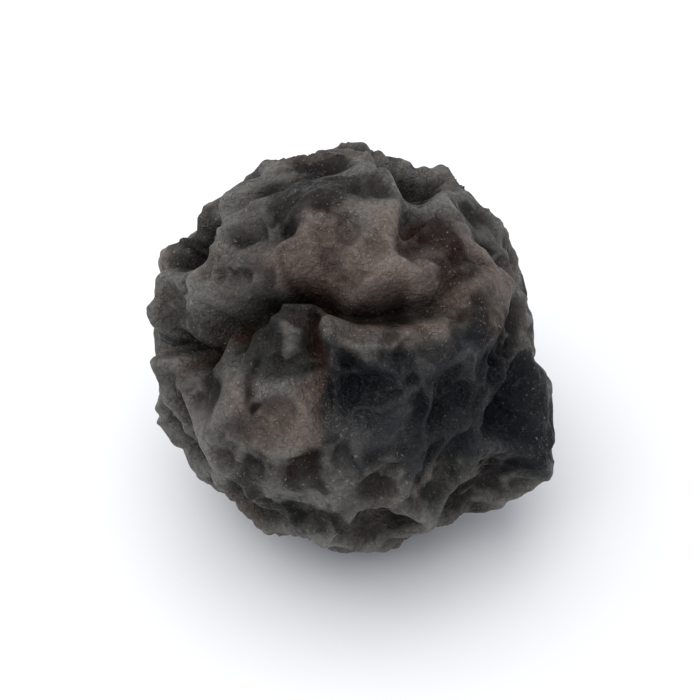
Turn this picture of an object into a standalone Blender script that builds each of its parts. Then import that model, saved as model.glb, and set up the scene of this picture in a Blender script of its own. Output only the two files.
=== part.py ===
"""Black peppercorn: one dried fruit at its real size, lying on a small flat spot.

The skin dried and shrank onto the round seed, so it stands in a raised net of narrow ridges round
sunken cells, with a few deeper folds. One end has the scar of the stem, the other the stigma's remains.

Units are metres, +Z is up, and the origin is the middle of the spot that the fruit rests on. A place on
the skin is an azimuth and an elevation in degrees, seen from the fruit's middle: azimuth 0 is the -Y
side, azimuth 90 is the +X side and elevation 90 is the top. Heights and widths on the skin are in
millimetres, and MM turns them to metres.
"""

import bmesh
import bpy
import numpy as np

MM = 0.001

# Driving dimensions of the whole fruit
MEAN_RADIUS = 2.43
REST_SPOT_RADIUS = 0.8
SEED = 11

# The net: cells of an even spread over the whole fruit, how far they stray as a share of their spacing,
# the ridges' height, how narrow and how flat on top their crests are, how narrow their shoulders are, how
# strong the ridges are, how deep the net lies under the mean radius as a share of its height, how far the
# cells' levels differ, and how the whole is bent: amount and wavelength
CELLS = 95
CELL_STRAY = 0.75
RIDGE_HEIGHT = 0.38
RIDGE_SHARPNESS = 0.012
RIDGE_FLATNESS = 1.3
SHOULDER_SHARPNESS = 0.022
STRENGTHS = (0.3, 1.0)
NET_DEPTH = 0.7
LEVEL_SPREAD = 0.14
NET_BENDS = ((0.16, 3.6), (0.04, 0.95), (0.012, 0.45))

# Cells of the side that is seen, which take the place of the spread there: azimuth, elevation, level
SEEN_CELLS = (
    (-99, 38, -0.22),
    (-88, 65, -0.12),
    (-130, 62, -0.16),
    (-161, 67, -0.20),
    (128, 65, -0.18),
    (78, 68, -0.14),
    (70, 54, -0.14),
    (100, 46, -0.12),
    (2, 75, 0.08),
    (120, 84, 0.06),
    (-71, 49, 0.06),
    (54, 44, 0.02),
    (-80, 28, 0.06),
    (-50, 23, -0.05),
    (-56, 0, -0.16),
    (-31, 39, 0.06),
    (-27, 19, 0.10),
    (-10, 11, -0.18),
    (-15, -8, 0.06),
    (6, 32, -0.20),
    (32, 25, -0.16),
    (60, 7, -0.24),
    (62, 30, -0.16),
    (8, 8, 0.0),
    (27, 0, 0.05),
    (6, -15, 0.0),
    (-28, -16, -0.06),
    (42, -14, 0.0),
    (16, 49, 0.08),
)

# Clearance between the two, and the bend of folds and bulges: amount and wavelength
CLEARANCE = 0.80
WAVER = (0.10, 1.1)

# Bulges and hollows: azimuth, elevation, height, width
BULGES = (
    (66, -22, 0.46, 0.72),
    (42, -36, -0.05, 0.60),
    (0, -44, 0.08, 0.80),
    (-70, -16, 0.10, 0.50),
    (99, 8, -0.38, 0.75),
    (155, 44, -0.18, 0.55),
    (-90, 2, -0.46, 0.45),
    (-52, -32, -0.20, 0.80),
    (-111, 19, 0.12, 1.20),
    (32, 14, -0.32, 0.65),
    (-28, 13, 0.12, 0.60),
    (-25, 57, -0.32, 0.42),
)

# Places where the net is fainter, the first two under and round the fruit's ends: azimuth, elevation,
# share of it that is taken away, width
CALM_PLACES = (
    (0, -90, 1.0, 1.12),
    (-107, -33, 1.0, 0.58),
    (30, 20, 0.75, 0.90),
    (-30, 46, 0.80, 0.45),
)

# Folds, sunken, and welts, raised: height, half width, and the course as azimuths and elevations. Both
# fade at their ends, the later the higher the power
FADING_POWER = 6
LEFT_OF_MAIN_FOLD = ((-90, -2), (-81, 10), (-72, 20), (-62, 31), (-52, 41), (-43, 53))
MAIN_FOLD = (*LEFT_OF_MAIN_FOLD, (-28, 61), (-13, 59), (-2, 57), (12, 55), (38, 52), (55, 47))
ABOVE_MAIN_FOLD = ((-62, 36), (-56, 50), (-50, 64), (-30, 72), (2, 70), (32, 66), (54, 60))
BRANCH = ((-20, 56), (-17, 49), (-13, 43), (-11, 38), (-8, 31), (-7, 24))
FOLDS = (
    (-0.62, 0.15, MAIN_FOLD),
    (-0.26, 0.09, BRANCH),
    (0.16, 0.20, ABOVE_MAIN_FOLD),
)

# Ends of the fruit: the stem's scar with its rim, and what is left of the stigma
STEM_END = (-107, -33)
STEM_SCAR_RADIUS = 0.45
STEM_SCAR_DEPTH = 0.12
STEM_RIM_HEIGHT = 0.14
STEM_RIM_WIDTH = 0.10
TIP_END = (140, 37)
TIP_HEIGHT = 0.22
TIP_RADIUS = 0.50

# Mesh: the ball it starts from, the share of its triangles that is kept, and the block that cuts it flat
START_SUBDIVISIONS = 7
KEPT_SHARE = 0.13
CUTTER_SIZE = 10.0


def direction(azimuth, elevation):
    """Unit vector of a place on the skin."""
    a, e = np.radians(azimuth), np.radians(elevation)
    return np.array((np.sin(a) * np.cos(e), -np.cos(a) * np.cos(e), np.sin(e)))


def unit(vectors):
    """The vectors at length 1."""
    return vectors / np.linalg.norm(vectors, axis=-1, keepdims=True)


def waves(points, wavelength, seed, count=24):
    """Smooth noise of mean square 1: the sum of plane sine waves of one length in random directions."""
    draw = np.random.default_rng(seed)
    headings = unit(draw.normal(size=(count, 3)))
    phases = draw.uniform(0, 2 * np.pi, count)
    turns = points @ headings.T * (2 * np.pi / wavelength) + phases
    return np.sin(turns).sum(1) * np.sqrt(2 / count)


def sway(points, amount, wavelength, seed):
    """Moves points by amount along three such noises, so that what is drawn on them bends."""
    moves = [waves(points, wavelength / MEAN_RADIUS, seed + axis) for axis in range(3)]
    return unit(points + amount / MEAN_RADIUS * np.stack(moves, 1))


def spread(count, stray, seed):
    """Even spread of directions on a golden spiral, each strayed by up to a share of their spacing."""
    draw = np.random.default_rng(seed)
    step = np.arange(count) + 0.5
    height = 1 - 2 * step / count
    turn = step * np.pi * (3 - np.sqrt(5))
    across = np.sqrt(1 - height**2)
    even = np.stack((across * np.cos(turn), across * np.sin(turn), height), 1)
    spacing = np.sqrt(4 * np.pi / count)
    return unit(even + draw.normal(size=(count, 3)) * stray * spacing / 3)


def shares(points, sites, sharpness):
    """How much of each point belongs to each site: 1 deep in a cell, 1/2 on the border of two."""
    nearness = points @ sites.T / sharpness
    nearness -= nearness.max(1, keepdims=True)
    part = np.exp(nearness)
    return part / part.sum(1, keepdims=True)


def border(part, strength):
    """Ridge along the borders: the product of two sites' shares, times that pair's strength."""
    return 2 * ((part @ strength) * part).sum(1)


def bend(points):
    """The places moved by NET_BENDS in turn, which makes the net's straight borders wander."""
    for number, (amount, wavelength) in enumerate(NET_BENDS):
        points = sway(points, amount, wavelength, SEED + 10 * (number + 1))
    return points


def cells():
    """Middles of the net's cells and their levels: those seen, and the spread where it is clear of them."""
    draw = np.random.default_rng(SEED)
    seen = bend(np.array([direction(azimuth, elevation) for azimuth, elevation, _ in SEEN_CELLS]))
    others = spread(CELLS, CELL_STRAY, SEED)
    gaps = np.linalg.norm(others[:, None] - seen, axis=2).min(1) * MEAN_RADIUS
    others = others[gaps > CLEARANCE]
    levels = [level for _, _, level in SEEN_CELLS]
    levels = np.concatenate((levels, draw.normal(0, LEVEL_SPREAD, len(others))))
    return np.concatenate((seen, others)), levels


def net(points):
    """Height of the net: narrow crests on wider shoulders, which differ from border to border."""
    middles, levels = cells()
    draw = np.random.default_rng(SEED + 1)
    strength = np.triu(draw.uniform(*STRENGTHS, (len(middles), len(middles))), 1)
    strength = np.sqrt(strength + strength.T)
    bent = bend(points)
    wide = shares(bent, middles, SHOULDER_SHARPNESS)
    crest = np.tanh(RIDGE_FLATNESS * border(shares(bent, middles, RIDGE_SHARPNESS), strength))
    shoulder = border(wide, strength)
    return RIDGE_HEIGHT * (0.5 * crest + 0.5 * shoulder - NET_DEPTH) + wide @ levels


def course(points, places):
    """Distance over the skin, in millimetres, from a course of straight stretches, and the share of the
    course's length at its nearest place."""
    stops = waver(np.array([direction(*place) for place in places]))
    lengths = np.linalg.norm(np.diff(stops, axis=0), axis=1)
    begun = np.concatenate(([0], np.cumsum(lengths)))
    nearest = np.full(len(points), np.inf)
    share = np.zeros(len(points))
    for start, end, length, before in zip(stops[:-1], stops[1:], lengths, begun):
        run = (end - start) / length
        along = np.clip((points - start) @ run, 0, length)
        gap = np.linalg.norm(points - start - along[:, None] * run, axis=1)
        closer = gap < nearest
        nearest[closer] = gap[closer]
        share[closer] = (before + along[closer]) / begun[-1]
    return nearest * MEAN_RADIUS, share


def bell(distance, width):
    """1 in the middle, falling to 1/e at width."""
    return np.exp(-((distance / width) ** 2))


def waver(points):
    """The places moved a little, so that folds and bulges aren't drawn with straight edges."""
    return sway(points, *WAVER, SEED + 50)


def away_from(points, azimuth, elevation):
    """Distance over the skin, in millimetres, from a place."""
    return np.linalg.norm(points - direction(azimuth, elevation), axis=1) * MEAN_RADIUS


def skin_radius(points):
    """Distance of the skin from the fruit's middle, in millimetres, along each unit vector."""
    bent = waver(points)
    relief = net(points)
    for azimuth, elevation, taken, width in CALM_PLACES:
        relief *= 1 - taken * bell(away_from(bent, azimuth, elevation), width)
    for height, half_width, places in FOLDS:
        gap, share = course(bent, places)
        strength = bell(gap, half_width) * (1 - (2 * share - 1) ** FADING_POWER)
        if height < 0:
            relief *= 1 - strength
        relief += height * strength
    radius = MEAN_RADIUS + relief
    for azimuth, elevation, height, width in BULGES:
        radius += height * bell(away_from(bent, azimuth, elevation), width)
    from_stem = away_from(points, *STEM_END)
    radius += STEM_RIM_HEIGHT * bell(from_stem - STEM_SCAR_RADIUS, STEM_RIM_WIDTH)
    radius -= STEM_SCAR_DEPTH * bell(from_stem, STEM_SCAR_RADIUS)
    radius += TIP_HEIGHT * bell(away_from(points, *TIP_END), TIP_RADIUS)
    return radius


def middle_height():
    """Height of the fruit's middle over the surface, so that the flat spot has its radius."""
    return np.sqrt(MEAN_RADIUS**2 - REST_SPOT_RADIUS**2)


def new_object(name, mesh, collection):
    """Object of a mesh, in a collection."""
    thing = bpy.data.objects.new(name, mesh)
    collection.objects.link(thing)
    return thing


def new_collection(name):
    """Collection of the scene."""
    collection = bpy.data.collections.new(name)
    bpy.context.scene.collection.children.link(collection)
    return collection


def pericarp():
    """Dried skin: very dark grey brown and dull."""
    material = bpy.data.materials.new("dried pericarp")
    material.use_nodes = True
    shader = material.node_tree.nodes["Principled BSDF"]
    shader.inputs["Base Color"].default_value = (0.030, 0.023, 0.019, 1.0)
    shader.inputs["Roughness"].default_value = 0.62
    shader.inputs["Metallic"].default_value = 0.0
    return material


def make_cutter(collection):
    """Block whose top is the surface that the fruit lies on: it cuts the flat spot."""
    bm = bmesh.new()
    bmesh.ops.create_cube(bm, size=CUTTER_SIZE * MM)
    bmesh.ops.translate(bm, verts=bm.verts, vec=(0, 0, -CUTTER_SIZE / 2 * MM))
    mesh = bpy.data.meshes.new("surface")
    bm.to_mesh(mesh)
    bm.free()
    cutter = new_object("surface", mesh, collection)
    cutter.hide_render = True
    cutter.display_type = "WIRE"
    return cutter


def make_peppercorn(collection, cutter):
    """Fine ball whose points are moved out to the skin, thinned where it is smooth, and cut flat below."""
    bm = bmesh.new()
    bmesh.ops.create_icosphere(bm, subdivisions=START_SUBDIVISIONS, radius=1)
    mesh = bpy.data.meshes.new("peppercorn")
    bm.to_mesh(mesh)
    bm.free()

    places = np.empty(len(mesh.vertices) * 3)
    mesh.vertices.foreach_get("co", places)
    points = unit(places.reshape(-1, 3))
    skin = points * skin_radius(points)[:, None]
    skin[:, 2] += middle_height()
    mesh.vertices.foreach_set("co", (skin * MM).ravel())
    mesh.materials.append(pericarp())
    mesh.shade_smooth()

    fruit = new_object("peppercorn", mesh, collection)
    thin = fruit.modifiers.new("thin", "DECIMATE")
    thin.ratio = KEPT_SHARE
    flat = fruit.modifiers.new("flat spot", "BOOLEAN")
    flat.operation = "DIFFERENCE"
    flat.solver = "EXACT"
    flat.object = cutter
    return fruit


def main():
    """Clears the scene and makes the fruit."""
    for thing in list(bpy.data.objects):
        bpy.data.objects.remove(thing)
    fruit_collection = new_collection("black peppercorn")
    cutter_collection = new_collection("cutters")
    make_peppercorn(fruit_collection, make_cutter(cutter_collection))


main()
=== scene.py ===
"""Looks of a dried black peppercorn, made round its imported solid.

The one piece is the fruit's skin (pericarp): the solid's own relief, worked out afresh on a finer ball
grid, with the small nets, wrinkles and pucker of the dried skin that would need too many faces there.
Around it stand a pale floor, soft light from above and a long lens that looks down at 45 degrees.

A place on the skin is an azimuth and an elevation in degrees, seen from the fruit's middle: azimuth 0 is
the -Y side, azimuth 90 is the +X side and elevation 90 is the top. Sizes on the skin are in millimetres,
and MM turns them to metres.
"""

import bpy
import numpy as np
from bpy.props import FloatProperty, FloatVectorProperty, IntProperty, PointerProperty
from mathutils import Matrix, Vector


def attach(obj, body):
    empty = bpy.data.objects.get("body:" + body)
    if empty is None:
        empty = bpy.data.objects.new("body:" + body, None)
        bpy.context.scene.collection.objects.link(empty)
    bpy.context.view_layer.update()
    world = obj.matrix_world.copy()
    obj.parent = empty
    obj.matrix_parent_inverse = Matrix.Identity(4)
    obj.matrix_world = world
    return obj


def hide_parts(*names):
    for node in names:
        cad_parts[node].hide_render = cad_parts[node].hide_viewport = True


bl_info = {
    "name": "Black Peppercorn",
    "version": (1, 0, 0),
    "blender": (4, 5, 0),
    "location": "View3D > Sidebar > Peppercorn",
    "description": "Makes a dried black peppercorn and the pale stage that it lies on",
    "category": "Add Mesh",
}

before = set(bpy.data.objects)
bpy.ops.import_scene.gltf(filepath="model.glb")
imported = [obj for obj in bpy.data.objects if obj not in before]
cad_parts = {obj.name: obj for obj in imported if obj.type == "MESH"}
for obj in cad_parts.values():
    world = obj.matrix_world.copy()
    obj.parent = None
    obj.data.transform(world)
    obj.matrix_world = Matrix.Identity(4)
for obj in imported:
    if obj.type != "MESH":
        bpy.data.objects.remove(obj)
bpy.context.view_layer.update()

MM = 0.001

# Driving dimensions of the whole fruit
MEAN_RADIUS = 2.43
REST_SPOT_RADIUS = 0.8
SEED = 11

# The net: cells of an even spread over the whole fruit, how far they stray as a share of their spacing,
# the ridges' height, how narrow and how flat on top their crests are, how narrow their shoulders are, how
# strong the ridges are, how deep the net lies under the mean radius as a share of its height, how far the
# cells' levels differ, and how the whole is bent: amount and wavelength
CELLS = 95
CELL_STRAY = 0.75
RIDGE_HEIGHT = 0.38
RIDGE_SHARPNESS = 0.012
RIDGE_FLATNESS = 1.3
SHOULDER_SHARPNESS = 0.022
STRENGTHS = (0.3, 1.0)
NET_DEPTH = 0.7
LEVEL_SPREAD = 0.14
NET_BENDS = ((0.16, 3.6), (0.04, 0.95), (0.012, 0.45))

# Cells of the side that is seen, which take the place of the spread there: azimuth, elevation, level
SEEN_CELLS = (
    (-99, 38, -0.22),
    (-88, 65, -0.12),
    (-130, 62, -0.16),
    (-161, 67, -0.20),
    (128, 65, -0.18),
    (78, 68, -0.14),
    (70, 54, -0.14),
    (100, 46, -0.12),
    (2, 75, 0.08),
    (120, 84, 0.06),
    (-71, 49, 0.06),
    (54, 44, 0.02),
    (-80, 28, 0.06),
    (-50, 23, -0.05),
    (-56, 0, -0.16),
    (-31, 39, 0.06),
    (-27, 19, 0.10),
    (-10, 11, -0.18),
    (-15, -8, 0.06),
    (6, 32, -0.20),
    (32, 25, -0.16),
    (60, 7, -0.24),
    (62, 30, -0.16),
    (8, 8, 0.0),
    (27, 0, 0.05),
    (6, -15, 0.0),
    (-28, -16, -0.06),
    (42, -14, 0.0),
    (16, 49, 0.08),
)

# Clearance between the two, and the bend of folds and bulges: amount and wavelength
CLEARANCE = 0.80
WAVER = (0.10, 1.1)

# Bulges and hollows: azimuth, elevation, height, width
BULGES = (
    (66, -22, 0.46, 0.72),
    (42, -36, -0.05, 0.60),
    (0, -44, 0.08, 0.80),
    (-70, -16, 0.10, 0.50),
    (99, 8, -0.38, 0.75),
    (155, 44, -0.18, 0.55),
    (-90, 2, -0.46, 0.45),
    (-52, -32, -0.20, 0.80),
    (-111, 19, 0.12, 1.20),
    (32, 14, -0.32, 0.65),
    (-28, 13, 0.12, 0.60),
    (-25, 57, -0.32, 0.42),
)

# Places where the net is fainter, the first two under the fruit and round its stem's scar: azimuth,
# elevation, share of it that is taken away, width
CALM_PLACES = (
    (0, -90, 1.0, 1.12),
    (-107, -33, 1.0, 0.58),
    (30, 20, 0.75, 0.90),
    (-30, 46, 0.80, 0.45),
)

# Folds, sunken, and welts, raised: height, half width, and the course as azimuths and elevations. Both
# fade at their ends, the later the higher the power
FADING_POWER = 6
LEFT_OF_MAIN_FOLD = ((-90, -2), (-81, 10), (-72, 20), (-62, 31), (-52, 41), (-43, 53))
MAIN_FOLD = (*LEFT_OF_MAIN_FOLD, (-28, 61), (-13, 59), (-2, 57), (12, 55), (38, 52), (55, 47))
ABOVE_MAIN_FOLD = ((-62, 36), (-56, 50), (-50, 64), (-30, 72), (2, 70), (32, 66), (54, 60))
BRANCH = ((-20, 56), (-17, 49), (-13, 43), (-11, 38), (-8, 31), (-7, 24))
FOLDS = (
    (-0.62, 0.15, MAIN_FOLD),
    (-0.26, 0.09, BRANCH),
    (0.16, 0.20, ABOVE_MAIN_FOLD),
)

# Ends of the fruit: the stem's scar with its rim, and what is left of the stigma
STEM_END = (-107, -33)
STEM_SCAR_RADIUS = 0.45
STEM_SCAR_DEPTH = 0.12
STEM_RIM_HEIGHT = 0.14
STEM_RIM_WIDTH = 0.10
TIP_END = (140, 37)
TIP_HEIGHT = 0.22
TIP_RADIUS = 0.50

# Wrinkles of the dried skin: wavelength, height and how narrow they are. How deep they lie as a share of
# their height, the wavelength over which they are strong and faint, and the limits of that
WRINKLES = ((1.15, 0.090, 0.22), (0.52, 0.040, 0.28))
WRINKLE_DEPTH = 0.35
WRINKLE_PATCH = 1.8
WRINKLE_LIMITS = (0.1, 1.4)

# Small nets inside the cells of the large one: number of meshes, height and sharpness. How flat their
# ridges are on top, how strong each mesh is, how deep the nets lie as a share of their height, the
# wavelength over which they are strong and faint, and the limits of that
MESHES = ((190, 0.120, 0.0050), (480, 0.140, 0.0024), (1500, 0.060, 0.0010))
MESH_FLATNESS = 2.0
MESH_STRENGTHS = (0.5, 1.0)
MESH_DEPTH = 0.50
MESH_PATCH = 1.5
MESH_LIMITS = (0.2, 1.2)

# Pucker, the finest waves of the skin: wavelength and height
PUCKER = (0.16, 0.006)

# What the three have in common: their bend, as amount and wavelength, their mean strength and how far it
# differs, the number of waves in a noise, the height to which they are held, so that no tip stands out
# like a thorn, and the shares of them that crests and folds take away
FINE_BEND = (0.05, 0.60)
FINE_STRENGTH = (0.65, 0.35)
FINE_WAVES = 40
FINE_LIMIT = 0.15
SMOOTHER_CRESTS = 0.5
SMOOTHER_FOLDS = 0.6

# Least slope of a line from the middle down to the surface that the fruit lies on: lines that rise or lie
# flatter end far outside the fruit
LEAST_SLOPE = 1e-6

# Products of points and meshes that are worked out at one time, which keeps the memory small
MOST_AT_ONCE = 8_000_000

# Places that are bluer, browner, warmer, paler or darker than the rest: azimuth, elevation, radius. The
# blue black places are painted shade, and the dark places are partly dark spots and partly painted shade on
# the lower rim and the lower right side
BLUE_BLACK_SHADE_PLACES = (
    (4, 35, 0.36),
    (20, 31, 0.55),
    (3, 22, 0.36),
    (38, 24, 0.60),
    (22, 14, 0.45),
    (45, 10, 0.55),
    (62, 4, 0.55),
    (70, -12, 0.40),
    (82, 6, 0.40),
)
BROWN_PLACES = (
    (-24, 64, 0.30),
    (-18, 53, 0.16),
    (-12, 43, 0.24),
    (-11, 36, 0.22),
    (-55, 40, 0.18),
    (-15, 10, 0.22),
    (-61, 13, 0.26),
    (72, 53, 0.28),
    (80, 66, 0.22),
    (96, 46, 0.28),
    (-130, 20, 0.30),
    (-175, 10, 0.34),
    (150, -20, 0.30),
)
WARM_PLACES = (
    (-40, 68, 0.34),
    (-10, 69, 0.42),
    (20, 66, 0.48),
    (50, 62, 0.42),
    (68, 52, 0.44),
    (86, 48, 0.34),
    (56, 43, 0.30),
    (-14, 30, 0.24),
    (-13, 21, 0.24),
    (-26, 22, 0.28),
    (-170, -10, 0.70),
    (-125, 5, 0.60),
    (130, 10, 0.60),
)
PALE_PLACES = (
    (-22, 25, 0.34),
    (-35, 10, 0.32),
    (-20, 17, 0.24),
    (20, 68, 0.42),
    (-6, 68, 0.42),
    (70, 76, 0.26),
    (0, 50, 0.22),
    (8, 46, 0.20),
    (34, 46, 0.24),
    (58, 44, 0.20),
    (-22, 71, 0.26),
    (-66, 50, 0.26),
    (-72, 46, 0.34),
    (-76, 33, 0.34),
    (-83, 26, 0.36),
    (-13, -2, 0.26),
    (-2, -20, 0.30),
    (14, 6, 0.20),
    (28, 0, 0.22),
)
DARK_PLACES = (
    (-161, 60, 0.40),
    (-138, 70, 0.38),
    (-130, 83, 0.38),
    (-100, 72, 0.26),
    (-107, 31, 0.34),
    (-75, 66, 0.22),
    (84, 65, 0.18),
    (72, 56, 0.30),
    (48, 38, 0.34),
    (64, 32, 0.36),
    (0, -8, 0.26),
    (-30, 31, 0.16),
    (-13, 11, 0.20),
    (-27, 1, 0.30),
    (-10, 9, 0.20),
    (-19, -11, 0.34),
    (56, 20, 0.42),
    (60, 6, 0.46),
    (56, -6, 0.40),
    (66, -8, 0.40),
    (46, -38, 0.20),
    (170, 30, 0.40),
    (-160, -15, 0.50),
    (110, 0, 0.45),
)

# Each kind of place by the name that the material reads. How the places' edges wander, as amount,
# wavelength and seed, and how far a place's colour fades out beyond its radius
PATCHES = {
    "blue_black": BLUE_BLACK_SHADE_PLACES,
    "brown": BROWN_PLACES,
    "warm": WARM_PLACES,
    "pale": PALE_PLACES,
    "dark": DARK_PLACES,
}
PATCH_SWAYS = ((0.11, 0.70, SEED + 67), (0.04, 0.25, SEED + 64))
PATCH_REACH = 1.2


def linear_colour(code):
    """Linear red, green, blue and alpha of an sRGB hex code."""
    levels = [int(code[start : start + 2], 16) / 255 for start in (1, 3, 5)]
    return (*((v / 12.92 if v <= 0.04045 else ((v + 0.055) / 1.055) ** 2.4) for v in levels), 1.0)


def direction(azimuth, elevation):
    """Unit vector of a place on the skin."""
    a, e = np.radians(azimuth), np.radians(elevation)
    return np.array((np.sin(a) * np.cos(e), -np.cos(a) * np.cos(e), np.sin(e)))


def unit(vectors):
    """The vectors at length 1."""
    return vectors / np.linalg.norm(vectors, axis=-1, keepdims=True)


def waves(points, wavelength, seed, count=24):
    """Smooth noise of mean square 1: the sum of plane sine waves of one length in random directions."""
    draw = np.random.default_rng(seed)
    headings = unit(draw.normal(size=(count, 3)))
    phases = draw.uniform(0, 2 * np.pi, count)
    turns = points @ headings.T * (2 * np.pi / wavelength) + phases
    return np.sin(turns).sum(1) * np.sqrt(2 / count)


def sway(points, amount, wavelength, seed):
    """Moves points by amount along three such noises, so that what is drawn on them bends."""
    moves = [waves(points, wavelength / MEAN_RADIUS, seed + axis) for axis in range(3)]
    return unit(points + amount / MEAN_RADIUS * np.stack(moves, 1))


def spread(count, stray, seed):
    """Even spread of directions on a golden spiral, each strayed by up to a share of their spacing."""
    draw = np.random.default_rng(seed)
    step = np.arange(count) + 0.5
    height = 1 - 2 * step / count
    turn = step * np.pi * (3 - np.sqrt(5))
    across = np.sqrt(1 - height**2)
    even = np.stack((across * np.cos(turn), across * np.sin(turn), height), 1)
    spacing = np.sqrt(4 * np.pi / count)
    return unit(even + draw.normal(size=(count, 3)) * stray * spacing / 3)


def shares(points, sites, sharpness):
    """How much of each point belongs to each site: 1 deep in a cell, 1/2 on the border of two."""
    nearness = points @ sites.T / sharpness
    nearness -= nearness.max(1, keepdims=True)
    part = np.exp(nearness)
    return part / part.sum(1, keepdims=True)


def border(part, strength):
    """Ridge along the borders: the product of two sites' shares, times that pair's strength."""
    return 2 * ((part @ strength) * part).sum(1)


def bend(points):
    """The places moved by NET_BENDS in turn, which makes the net's straight borders wander."""
    for number, (amount, wavelength) in enumerate(NET_BENDS):
        points = sway(points, amount, wavelength, SEED + 10 * (number + 1))
    return points


def cells():
    """Middles of the net's cells and their levels: those seen, and the spread where it is clear of them."""
    draw = np.random.default_rng(SEED)
    seen = bend(np.array([direction(azimuth, elevation) for azimuth, elevation, _ in SEEN_CELLS]))
    others = spread(CELLS, CELL_STRAY, SEED)
    gaps = np.linalg.norm(others[:, None] - seen, axis=2).min(1) * MEAN_RADIUS
    others = others[gaps > CLEARANCE]
    levels = [level for _, _, level in SEEN_CELLS]
    levels = np.concatenate((levels, draw.normal(0, LEVEL_SPREAD, len(others))))
    return np.concatenate((seen, others)), levels


def net(points):
    """Height of the net, narrow crests on wider shoulders, and the crests alone from 0 to about 1."""
    middles, levels = cells()
    draw = np.random.default_rng(SEED + 1)
    strength = np.triu(draw.uniform(*STRENGTHS, (len(middles), len(middles))), 1)
    strength = np.sqrt(strength + strength.T)
    bent = bend(points)
    wide = shares(bent, middles, SHOULDER_SHARPNESS)
    crest = np.tanh(RIDGE_FLATNESS * border(shares(bent, middles, RIDGE_SHARPNESS), strength))
    shoulder = border(wide, strength)
    return RIDGE_HEIGHT * (0.5 * crest + 0.5 * shoulder - NET_DEPTH) + wide @ levels, crest


def bell(distance, width):
    """1 in the middle, falling to 1/e at width."""
    return np.exp(-((distance / width) ** 2))


def waver(points):
    """The places moved a little, so that folds and bulges aren't drawn with straight edges."""
    return sway(points, *WAVER, SEED + 50)


def course(points, places):
    """Distance over the skin, in millimetres, from a course of straight stretches, and the share of the
    course's length at its nearest place."""
    stops = waver(np.array([direction(*place) for place in places]))
    lengths = np.linalg.norm(np.diff(stops, axis=0), axis=1)
    begun = np.concatenate(([0], np.cumsum(lengths)))
    nearest = np.full(len(points), np.inf)
    share = np.zeros(len(points))
    for start, end, length, before in zip(stops[:-1], stops[1:], lengths, begun):
        run = (end - start) / length
        along = np.clip((points - start) @ run, 0, length)
        gap = np.linalg.norm(points - start - along[:, None] * run, axis=1)
        closer = gap < nearest
        nearest[closer] = gap[closer]
        share[closer] = (before + along[closer]) / begun[-1]
    return nearest * MEAN_RADIUS, share


def away_from(points, azimuth, elevation):
    """Distance over the skin, in millimetres, from a place."""
    return np.linalg.norm(points - direction(azimuth, elevation), axis=1) * MEAN_RADIUS


def middle_height():
    """Height of the fruit's middle over the surface, so that the flat spot has its radius."""
    return np.sqrt(MEAN_RADIUS**2 - REST_SPOT_RADIUS**2)


def fine_net(points, count, sharpness, seed):
    """Ridges from 0 to 1 between the meshes of a small net, worked out some points at a time. Each mesh
    has a strength, and a ridge has the product of its two meshes' strengths, with its top flattened."""
    middles = spread(count, CELL_STRAY, seed)
    strength = np.random.default_rng(seed).uniform(*MESH_STRENGTHS, count)
    ridges = []
    for some in np.array_split(points, 1 + len(points) * count // MOST_AT_ONCE):
        strong = shares(some, middles, sharpness) * strength
        ridges.append(2 * (strong.sum(1) ** 2 - (strong**2).sum(1)))
    return np.tanh(MESH_FLATNESS * np.concatenate(ridges))


def strong_and_faint(points, wavelength, limits, seed):
    """Strength of a fine relief, which a smooth noise makes strong in some places and faint in others."""
    mean, variation = FINE_STRENGTH
    return np.clip(mean + variation * waves(points, wavelength / MEAN_RADIUS, seed), *limits)


def fine_relief(points):
    """Height of the wrinkles, small nets and pucker. A wrinkle stands wherever a smooth noise passes
    through zero, and its section is the bell of the noise."""
    swayed = sway(points, *FINE_BEND, SEED + 70)
    height = np.zeros(len(points))
    for number, (wavelength, rise, narrowness) in enumerate(WRINKLES):
        noise = waves(swayed, wavelength / MEAN_RADIUS, SEED + 80 + number, FINE_WAVES)
        strength = strong_and_faint(points, WRINKLE_PATCH, WRINKLE_LIMITS, SEED + 90 + number)
        height += rise * strength * (bell(noise, narrowness) - WRINKLE_DEPTH)
    for number, (count, rise, sharpness) in enumerate(MESHES):
        strength = strong_and_faint(points, MESH_PATCH, MESH_LIMITS, SEED + 95 + number)
        ridge = fine_net(swayed, count, sharpness, SEED + 120 + number)
        height += rise * strength * (ridge - MESH_DEPTH)
    wavelength, rise = PUCKER
    height += rise * waves(swayed, wavelength / MEAN_RADIUS, SEED + 99, FINE_WAVES)
    return FINE_LIMIT * np.tanh(height / FINE_LIMIT)


def skin(points):
    """Distance of the skin from the fruit's middle along each unit vector, in millimetres, and what the
    colour follows there: height over the smooth body, crests, the fine relief and creases."""
    bent = waver(points)
    relief, crest = net(points)
    for azimuth, elevation, taken, width in CALM_PLACES:
        left = 1 - taken * bell(away_from(bent, azimuth, elevation), width)
        relief *= left
        crest *= left
    crease = np.zeros(len(points))
    for height, half_width, places in FOLDS:
        gap, share = course(bent, places)
        strength = bell(gap, half_width) * (1 - (2 * share - 1) ** FADING_POWER)
        if height < 0:
            relief *= 1 - strength
            depth = height / FOLDS[0][0]
            crease = np.maximum(crease, depth * strength)
        relief += height * strength
    from_stem = away_from(points, *STEM_END)
    relief += STEM_RIM_HEIGHT * bell(from_stem - STEM_SCAR_RADIUS, STEM_RIM_WIDTH)
    relief -= STEM_SCAR_DEPTH * bell(from_stem, STEM_SCAR_RADIUS)
    body = MEAN_RADIUS + TIP_HEIGHT * bell(away_from(points, *TIP_END), TIP_RADIUS)
    for azimuth, elevation, rise, width in BULGES:
        body = body + rise * bell(away_from(bent, azimuth, elevation), width)
    fine = fine_relief(points) * (1 - SMOOTHER_CRESTS * crest) * (1 - SMOOTHER_FOLDS * crease)
    return body + relief + fine, relief, crest, fine, crease


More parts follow.
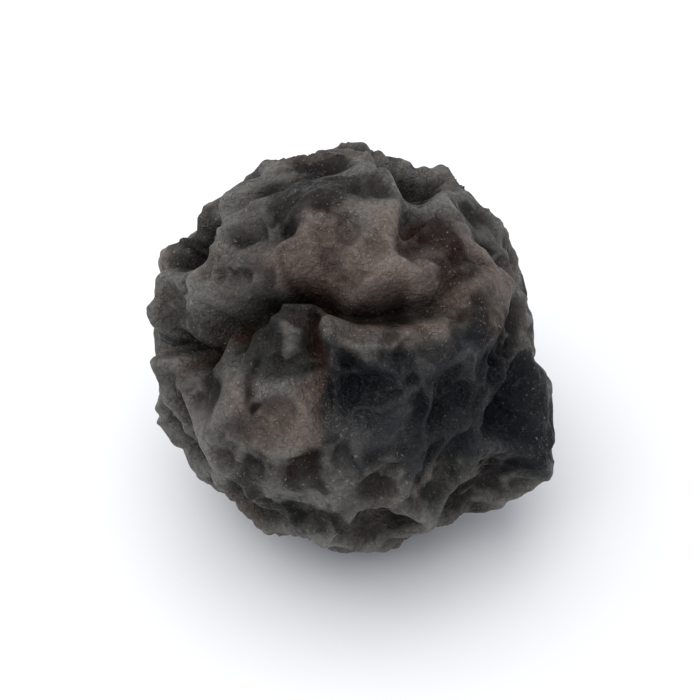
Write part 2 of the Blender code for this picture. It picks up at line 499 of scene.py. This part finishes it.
def patches(points, places):
    """1 in the middles of the places and 0 far from them, with edges that wander: the shares that the
    places' bells leave bare are multiplied, and the product is taken from 1."""
    for amount, wavelength, seed in PATCH_SWAYS:
        points = sway(points, amount, wavelength, seed)
    bare = np.ones(len(points))
    for azimuth, elevation, radius in places:
        bare *= 1 - bell(away_from(points, azimuth, elevation), radius * PATCH_REACH)
    return 1 - bare


def ball_grid(divisions):
    """Unit vectors of a ball on six square grids and its square faces. On each grid two parameters run
    from -45 to 45 degrees, and a point is (1, tan of the first, tan of the second), turned to its side and
    brought to length 1. Points on the edge of two grids have the same whole numbers, and are merged."""
    steps = np.arange(divisions + 1)
    first, second = (grid.ravel() for grid in np.meshgrid(steps, steps, indexing="ij"))
    corner = (first < divisions) & (second < divisions)
    here = np.flatnonzero(corner)
    square = np.stack((here, here + divisions + 1, here + divisions + 2, here + 1), 1)
    lattices, squares = [], []
    for axis in range(3):
        for far in (0, divisions):
            side = np.empty((len(first), 3), int)
            side[:, axis] = far
            side[:, (axis + 1) % 3] = first if far else second
            side[:, (axis + 2) % 3] = second if far else first
            squares.append(square + len(first) * len(lattices))
            lattices.append(side)
    lattice, place = np.unique(np.concatenate(lattices), axis=0, return_inverse=True)
    points = np.tan(np.pi / 4 * (2 * lattice / divisions - 1))
    return unit(points), place.ravel()[np.concatenate(squares)]


def add_node(tree, kind, inputs=None, **settings):
    """Node of a kind in a tree, with its settings, and with its inputs set to values or linked."""
    node = tree.nodes.new(kind)
    for name, value in settings.items():
        setattr(node, name, value)
    for name, value in (inputs or {}).items():
        if isinstance(value, bpy.types.NodeSocket):
            tree.links.new(value, node.inputs[name])
        else:
            node.inputs[name].default_value = value
    return node


# Places of the factor, the two colours and the result on a Mix node that mixes colours
MIX_FACTOR = 0
MIX_FIRST = 6
MIX_SECOND = 7
MIX_RESULT = 2


def new_material(name):
    """Empty node material, and its tree."""
    material = bpy.data.materials.new(name)
    material.use_nodes = True
    material.node_tree.nodes.clear()
    return material, material.node_tree


# Patterns in the dried skin: size in millimetres, detail and roughness of the noise, and the spacing of the
# pits. The sizes are the real ones: browner skin and ridges take up a cell or two of the net, and the
# mottling is about as wide as a mesh inside them. Only the grain and the specks, clumps of dried cells and
# of dust some 0.02 mm wide, are drawn coarser so that they show
NOISES = {
    "browner skin": (1.3, 3.0, 0.55),
    "browner ridges": (0.85, 2.0, 0.55),
    "mottling": (0.28, 4.0, 0.55),
    "tiny wrinkles": (0.17, 2.0, 0.55),
    "grain": (0.055, 3.0, 0.60),
    "specks": (0.035, 1.0, 0.55),
}
PITS = 0.11

# What the finish of the skin follows, worked out in this order from its marks and patterns. Each is a sum
# of products, and a factor is a number, the name of a value, or a smooth step of a value: its name, where
# the step begins and ends, and what it goes from and to
FOLLOWED = {
    # Skin between the ridges: browner in some areas, mottled, and darkened with painted shade where it is
    # low, in the hollows of the net and of its small meshes
    "browner": [[("browner skin", 0.35, 0.65, 0.0, 1.0)]],
    "mottled": [[("mottling", 0.40, 0.72, 0.0, 0.60)]],
    "low": [[("relief", -0.04, -0.34, 0.0, 0.85)]],
    "shaded mesh hollow": [[("fine", -0.02, -0.08, 0.0, 0.65)]],
    # Ridges, large and small: paler, partly rubbed and partly painted highlight where they catch the light,
    # lighter still in the pale places, and warmer in some places
    "warmth": [["browner ridges"], ["warm", 0.40]],
    "warmer": [[("warmth", 0.48, 0.80, 0.0, 1.0)]],
    "fine ridge": [[("fine", 0.0, 0.08, 0.0, 0.60)]],
    "worn and lit crest": [[("crest", 0.35, 0.95, 0.0, 1.0), ("mottling", 0.30, 0.65, 0.25, 0.85)]],
    "worn and lit": [["worn and lit crest"], ["pale", 0.45]],
    # Dark places, partly dark spots and partly painted shade on the lower rim and the lower right side,
    # folds darkened with painted shade, and brown places, browner where they are low
    "dark place": [[("dark", 0.20, 0.80, 0.0, 1.0)]],
    "darkened": [["dark place", ("mottling", 0.30, 0.60, 0.60, 0.95)]],
    "fold": [[("crease", 0.15, 0.85, 0.0, 0.65)]],
    "brown low": [[("fine", 0.05, -0.05, 0.45, 1.0), ("relief", 0.05, -0.20, 0.60, 1.0)]],
    "brown place": [["brown", "brown low", ("mottling", 0.25, 0.60, 0.35, 0.90)]],
    # Painted shade of the blue black hollow, dark and bluish where only the sky lights it, through which
    # its ridges show, and the corky scar of the stem
    "blueness": [["blue_black"], ["mottling", 0.50]],
    "blue place": [[("blueness", 0.55, 0.95, 0.0, 1.0), ("worn and lit", 0.0, 1.0, 0.92, 0.66)]],
    "cork mottling": [[("mottling", 0.35, 0.70, 0.0, 0.75)]],
    "cork": [[("scar", 0.30, 0.80, 0.0, 0.85)]],
    # Grain, pale specks and tiny wrinkles, which stand where their noise is near its mean
    "grainy": [[("grain", 0.35, 0.70, 0.0, 0.35)]],
    "speckled": [[("specks", 0.66, 0.74, 0.0, 1.0), ("worn and lit", 0.0, 0.60, 0.15, 0.55)]],
    "line": [[("tiny wrinkles", 0.465, 0.50, 0.0, 1.0), ("tiny wrinkles", 0.535, 0.50, 0.0, 1.0)]],
    "tiny wrinkle": [["line", ("mottling", 0.35, 0.60, 0.30, 1.0)]],
    "faint wrinkle": [["tiny wrinkle", 0.16]],
    # Waxy shine of the ridges, which folds and dark places lack, roughness, and the finest relief
    "wax": [[0.16], ["crest", 0.34], ["fine ridge", 0.25]],
    "shine": [["wax", ("crease", 0.70, 0.0, 0.15, 1.0), ("dark place", 0.0, 1.0, 1.0, 0.40)]],
    "roughness": [[("grain", 0.30, 0.70, 0.58, 0.74)], ["crest", -0.14], ["blue place", -0.08]],
    "height": [["grain", 0.70], ["pits", 0.50], ["mottling", 0.80], ["tiny wrinkle", 0.30]],
}

# Height of the finest relief, and the refractive index of plant wax
FINEST_HEIGHT = 0.050
WAX_IOR = 1.45

# Colours mixed in this order: name of the result, the two that are mixed, and the share of the second
MIXES = (
    ("ridge tone", "ridge", "warm_ridge", "warmer"),
    ("corky tone", "scar", "brown_hollow", "cork mottling"),
    ("tone", "skin", "warm_skin", "browner"),
    ("tone", "tone", "dark_skin", "mottled"),
    # From here, hollow colour is painted shade in low places, small hollows, dark places and folds, ridge
    # tone is partly painted highlight, and blue black is painted shade
    ("tone", "tone", "hollow", "low"),
    ("tone", "tone", "hollow", "shaded mesh hollow"),
    ("tone", "tone", "ridge tone", "fine ridge"),
    ("tone", "tone", "ridge tone", "worn and lit"),
    ("tone", "tone", "hollow", "darkened"),
    ("tone", "tone", "hollow", "fold"),
    ("tone", "tone", "brown_hollow", "brown place"),
    ("tone", "tone", "blue_black", "blue place"),
    ("tone", "tone", "corky tone", "cork"),
    ("tone", "tone", "hollow", "grainy"),
    ("tone", "tone", "ridge tone", "faint wrinkle"),
    ("tone", "tone", "speck", "speckled"),
)


def sum_of_products(tree, products, values):
    """The products of their factors, added up. FOLLOWED says what a factor is."""
    total = 0.0
    for factors in products:
        product = 1.0
        for factor in factors:
            if isinstance(factor, str):
                factor = values[factor]
            elif isinstance(factor, tuple):
                source, *limits = factor
                inputs = dict(zip(("From Min", "From Max", "To Min", "To Max"), limits))
                inputs["Value"] = values[source]
                node = add_node(tree, "ShaderNodeMapRange", inputs, interpolation_type="SMOOTHSTEP")
                factor = node.outputs["Result"]
            node = add_node(tree, "ShaderNodeMath", {0: product, 1: factor}, operation="MULTIPLY")
            product = node.outputs["Value"]
        node = add_node(tree, "ShaderNodeMath", {0: total, 1: product}, operation="ADD")
        total = node.outputs["Value"]
    return total


def dried_pericarp(colours):
    """The dried outer wall of the fruit, wrinkled as it shrank in the sun. To the eye it is nearly black
    and dull, with a faint waxy shine. The ridges are paler and greyer, partly rubbed and partly painted
    highlight where they catch the light, some of them warmer, with tiny pale specks. The hollows and folds
    are darkened with painted shade, with some warm brown, the lower rim is partly painted shade, and one
    hollow is painted blue black shade, as only the sky lights it. Fine grain and tiny wrinkles break up
    every highlight, and the scar of the stem is pale cork."""
    material, tree = new_material("dried pericarp")
    place = add_node(tree, "ShaderNodeTexCoord").outputs["Object"]
    values = {}
    for name in ("relief", "crest", "fine", "crease", "scar", *PATCHES):
        values[name] = add_node(tree, "ShaderNodeAttribute", attribute_name=name).outputs["Fac"]
    for name, (size, detail, roughness) in NOISES.items():
        inputs = {"Vector": place, "Scale": 1 / (size * MM), "Detail": detail, "Roughness": roughness}
        values[name] = add_node(tree, "ShaderNodeTexNoise", inputs).outputs["Fac"]
    inputs = {"Vector": place, "Scale": 1 / (PITS * MM)}
    values["pits"] = add_node(tree, "ShaderNodeTexVoronoi", inputs).outputs["Distance"]
    for name, products in FOLLOWED.items():
        values[name] = sum_of_products(tree, products, values)

    tones = {name: tuple(getattr(colours, name)) for name in FruitColours.__annotations__}
    for result, first, second, share in MIXES:
        inputs = {MIX_FACTOR: values[share], MIX_FIRST: tones[first], MIX_SECOND: tones[second]}
        tones[result] = add_node(tree, "ShaderNodeMix", inputs, data_type="RGBA").outputs[MIX_RESULT]

    inputs = {"Height": values["height"], "Distance": FINEST_HEIGHT * MM, "Strength": 1.0}
    bump = add_node(tree, "ShaderNodeBump", inputs)
    inputs = {"Base Color": tones["tone"], "Roughness": values["roughness"], "IOR": WAX_IOR}
    inputs |= {"Specular IOR Level": values["shine"], "Normal": bump.outputs["Normal"]}
    shader = add_node(tree, "ShaderNodeBsdfPrincipled", inputs)
    add_node(tree, "ShaderNodeOutputMaterial", {"Surface": shader.outputs["BSDF"]})
    return material


def matt_paper(colour):
    """White paper or board: quite matt, without grain that shows."""
    material, tree = new_material("matt white paper")
    shader = add_node(tree, "ShaderNodeBsdfPrincipled", {"Base Color": tuple(colour), "Roughness": 0.9})
    add_node(tree, "ShaderNodeOutputMaterial", {"Surface": shader.outputs["BSDF"]})
    return material


def new_piece(name, points, faces, material):
    """Smooth mesh object of points in millimetres and faces, at the origin."""
    mesh = bpy.data.meshes.new(name)
    mesh.from_pydata((points * MM).tolist(), [], faces.tolist())
    mesh.materials.append(material)
    mesh.shade_smooth()
    piece = bpy.data.objects.new(name, mesh)
    bpy.context.scene.collection.objects.link(piece)
    return piece


def add_values(piece, name, values):
    """One number at each point of the piece, which its material reads by name."""
    piece.data.attributes.new(name, "FLOAT", "POINT").data.foreach_set("value", values.astype(np.float32))


def make_fruit(sizes, colours):
    """The fruit's skin in place of the plain solid, with the marks that its colour follows."""
    points, faces = ball_grid(sizes.divisions)
    radius, relief, crest, fine, crease = skin(points)
    down = np.maximum(-points[:, 2], LEAST_SLOPE)
    to_surface = middle_height() / down
    places = points * np.minimum(radius, to_surface)[:, None]
    places[:, 2] += middle_height()
    fruit = new_piece("pericarp_skin", places, faces, dried_pericarp(colours))
    marks = {"relief": relief, "crest": crest, "fine": fine, "crease": crease}
    marks |= {name: patches(points, kind) for name, kind in PATCHES.items()}
    marks["scar"] = bell(away_from(points, *STEM_END), STEM_SCAR_RADIUS)
    for name, values in marks.items():
        add_values(fruit, name, values)
    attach(fruit, "root")
    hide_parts("peppercorn")


def make_floor(stage):
    """Wide flat floor at the height that the fruit rests on."""
    half = stage.floor_width / 2 / MM
    corners = np.array(((-half, -half, 0), (half, -half, 0), (half, half, 0), (-half, half, 0)))
    floor = new_piece("floor", corners, np.array(((0, 1, 2, 3),)), matt_paper(stage.floor_colour))


def aim(thing, back, distance, target):
    """Puts a lamp or a camera at a distance from its target and turns it to look there."""
    thing.location = target + back * distance
    thing.rotation_euler = back.to_track_quat("Z", "Y").to_euler()


def make_light(stage, target):
    """One large soft light above and to the left, and a pale even sky."""
    lamp = bpy.data.lights.new("window light", "AREA")
    lamp.size = stage.light_size
    lamp.energy = stage.light_power
    lamp.color = tuple(stage.light_colour)[:3]
    thing = bpy.data.objects.new("window light", lamp)
    bpy.context.scene.collection.objects.link(thing)
    back = Vector(stage.light_side).normalized()
    aim(thing, back, stage.light_distance, target)
    world = bpy.data.worlds.new("pale sky")
    world.use_nodes = True
    background = world.node_tree.nodes["Background"]
    background.inputs["Color"].default_value = tuple(stage.sky_colour)
    background.inputs["Strength"].default_value = stage.sky_strength
    bpy.context.scene.world = world


def make_camera(stage, target):
    """Long lens that looks down on the fruit from the front."""
    lens = bpy.data.cameras.new("long lens")
    lens.lens = stage.focal_length
    lens.clip_start = 1 * MM
    camera = bpy.data.objects.new("long lens", lens)
    bpy.context.scene.collection.objects.link(camera)
    aim(camera, Vector(direction(0, stage.camera_elevation)), stage.camera_distance, target)
    bpy.context.scene.camera = camera
    bpy.context.scene.view_settings.view_transform = "Standard"


class FruitSizes(bpy.types.PropertyGroup):
    """Sizes of the fruit's mesh."""

    divisions: IntProperty(
        name="Divisions",
        description="Squares along each edge of the six grids that the skin is drawn on",
        default=128,
        min=16,
        max=128,
    )


class FruitColours(bpy.types.PropertyGroup):
    """Colours of the dried skin."""

    skin: FloatVectorProperty(
        name="Skin",
        description="Grey brown of the skin between ridges and hollows",
        subtype="COLOR",
        size=4,
        default=linear_colour("#20221F"),
    )
    warm_skin: FloatVectorProperty(
        name="Warm skin",
        description="Skin where the brown shows more",
        subtype="COLOR",
        size=4,
        default=linear_colour("#2A221F"),
    )
    dark_skin: FloatVectorProperty(
        name="Dark skin",
        description="Mottling of the skin",
        subtype="COLOR",
        size=4,
        default=linear_colour("#110F0F"),
    )
    # Paler crests: partly the rubbed skin's own colour, partly painted highlight where they catch the light
    ridge: FloatVectorProperty(
        name="Ridge",
        description="Rubbed crests of the net",
        subtype="COLOR",
        size=4,
        default=linear_colour("#696762"),
    )
    warm_ridge: FloatVectorProperty(
        name="Warm ridge",
        description="Crests where the brown shows more",
        subtype="COLOR",
        size=4,
        default=linear_colour("#73655C"),
    )
    # Painted shade: mixed in where the skin is low, in the small hollows, the dark places and the folds,
    # and also as dark grain
    hollow: FloatVectorProperty(
        name="Hollow",
        description="Bottoms of the hollows and folds",
        subtype="COLOR",
        size=4,
        default=linear_colour("#0B0908"),
    )
    brown_hollow: FloatVectorProperty(
        name="Brown hollow",
        description="Hollows in which the warm brown shows",
        subtype="COLOR",
        size=4,
        default=linear_colour("#331C13"),
    )
    # Painted shade: the bluish black of the hollow at the right, which only the sky lights
    blue_black: FloatVectorProperty(
        name="Blue black",
        description="The dark hollow at the right of the seen side",
        subtype="COLOR",
        size=4,
        default=linear_colour("#101318"),
    )
    speck: FloatVectorProperty(
        name="Speck",
        description="Tiny pale specks where the ridges are rubbed",
        subtype="COLOR",
        size=4,
        default=linear_colour("#8C857B"),
    )
    scar: FloatVectorProperty(
        name="Stem scar",
        description="Pale corky disc where the stem was",
        subtype="COLOR",
        size=4,
        default=linear_colour("#6F6252"),
    )


class StageSettings(bpy.types.PropertyGroup):
    """Floor, light and camera."""

    floor_width: FloatProperty(
        name="Floor width",
        description="Width of the square floor",
        default=1.2,
        unit="LENGTH",
    )
    floor_colour: FloatVectorProperty(
        name="Floor colour",
        description="Colour of the floor",
        subtype="COLOR",
        size=4,
        default=linear_colour("#F2F3F5"),
    )
    light_size: FloatProperty(
        name="Light size",
        description="Edge of the square soft light",
        default=0.80,
        unit="LENGTH",
    )
    light_distance: FloatProperty(
        name="Light distance",
        description="Distance of the soft light from the fruit",
        default=0.54,
        unit="LENGTH",
    )
    light_side: FloatVectorProperty(
        name="Light side",
        description="Direction from the fruit to the soft light",
        subtype="XYZ",
        default=(-0.25, 0.0, 0.97),
    )
    light_power: FloatProperty(
        name="Light power",
        description="Power of the soft light in watts",
        default=3.3,
    )
    light_colour: FloatVectorProperty(
        name="Light colour",
        description="Colour of the soft light",
        subtype="COLOR",
        size=4,
        default=linear_colour("#FFFCF8"),
    )
    sky_colour: FloatVectorProperty(
        name="Sky colour",
        description="Colour of the even light from all sides",
        subtype="COLOR",
        size=4,
        default=linear_colour("#EBEFF6"),
    )
    sky_strength: FloatProperty(
        name="Sky strength",
        description="Strength of the even light from all sides",
        default=0.76,
    )
    focal_length: FloatProperty(
        name="Focal length",
        description="Focal length of the camera in millimetres",
        default=100.0,
        unit="CAMERA",
    )
    camera_distance: FloatProperty(
        name="Camera distance",
        description="Distance of the camera from the fruit's middle",
        default=0.0245,
        unit="LENGTH",
        precision=4,
    )
    camera_elevation: FloatProperty(
        name="Camera elevation",
        description="Angle at which the camera looks down, in degrees",
        default=45.0,
    )


class PEPPERCORN_OT_fruit(bpy.types.Operator):
    """Make the dried fruit in place of its plain solid"""

    bl_idname = "peppercorn.fruit"
    bl_label = "Make the Fruit"

    def execute(self, context):
        scene = context.scene
        make_fruit(scene.peppercorn_sizes, scene.peppercorn_colours)
        return {"FINISHED"}


class PEPPERCORN_OT_stage(bpy.types.Operator):
    """Make the floor, the light and the camera"""

    bl_idname = "peppercorn.stage"
    bl_label = "Make the Stage"

    def execute(self, context):
        stage = context.scene.peppercorn_stage
        target = Vector((0, 0, middle_height() * MM))
        make_floor(stage)
        make_light(stage, target)
        make_camera(stage, target)
        return {"FINISHED"}


class PEPPERCORN_PT_panel(bpy.types.Panel):
    """The peppercorn's sizes, colours, stage and operators"""

    bl_idname = "PEPPERCORN_PT_panel"
    bl_label = "Black Peppercorn"
    bl_space_type = "VIEW_3D"
    bl_region_type = "UI"
    bl_category = "Peppercorn"

    def draw(self, context):
        scene = context.scene
        for group in (scene.peppercorn_sizes, scene.peppercorn_colours, scene.peppercorn_stage):
            box = self.layout.box()
            for name in group.__annotations__:
                box.prop(group, name)
        for operator in OPERATORS:
            self.layout.operator(operator.bl_idname)


OPERATORS = (PEPPERCORN_OT_fruit, PEPPERCORN_OT_stage)
GROUPS = (FruitSizes, FruitColours, StageSettings)
CLASSES = (*GROUPS, *OPERATORS, PEPPERCORN_PT_panel)


def register():
    for kind in CLASSES:
        bpy.utils.register_class(kind)
    bpy.types.Scene.peppercorn_sizes = PointerProperty(type=FruitSizes)
    bpy.types.Scene.peppercorn_colours = PointerProperty(type=FruitColours)
    bpy.types.Scene.peppercorn_stage = PointerProperty(type=StageSettings)


def unregister():
    del bpy.types.Scene.peppercorn_stage
    del bpy.types.Scene.peppercorn_colours
    del bpy.types.Scene.peppercorn_sizes
    for kind in reversed(CLASSES):
        bpy.utils.unregister_class(kind)


def main():
    """Makes the fruit and the stage."""
    register()
    bpy.ops.peppercorn.fruit()
    bpy.ops.peppercorn.stage()


if __name__ == "__main__":
    main()
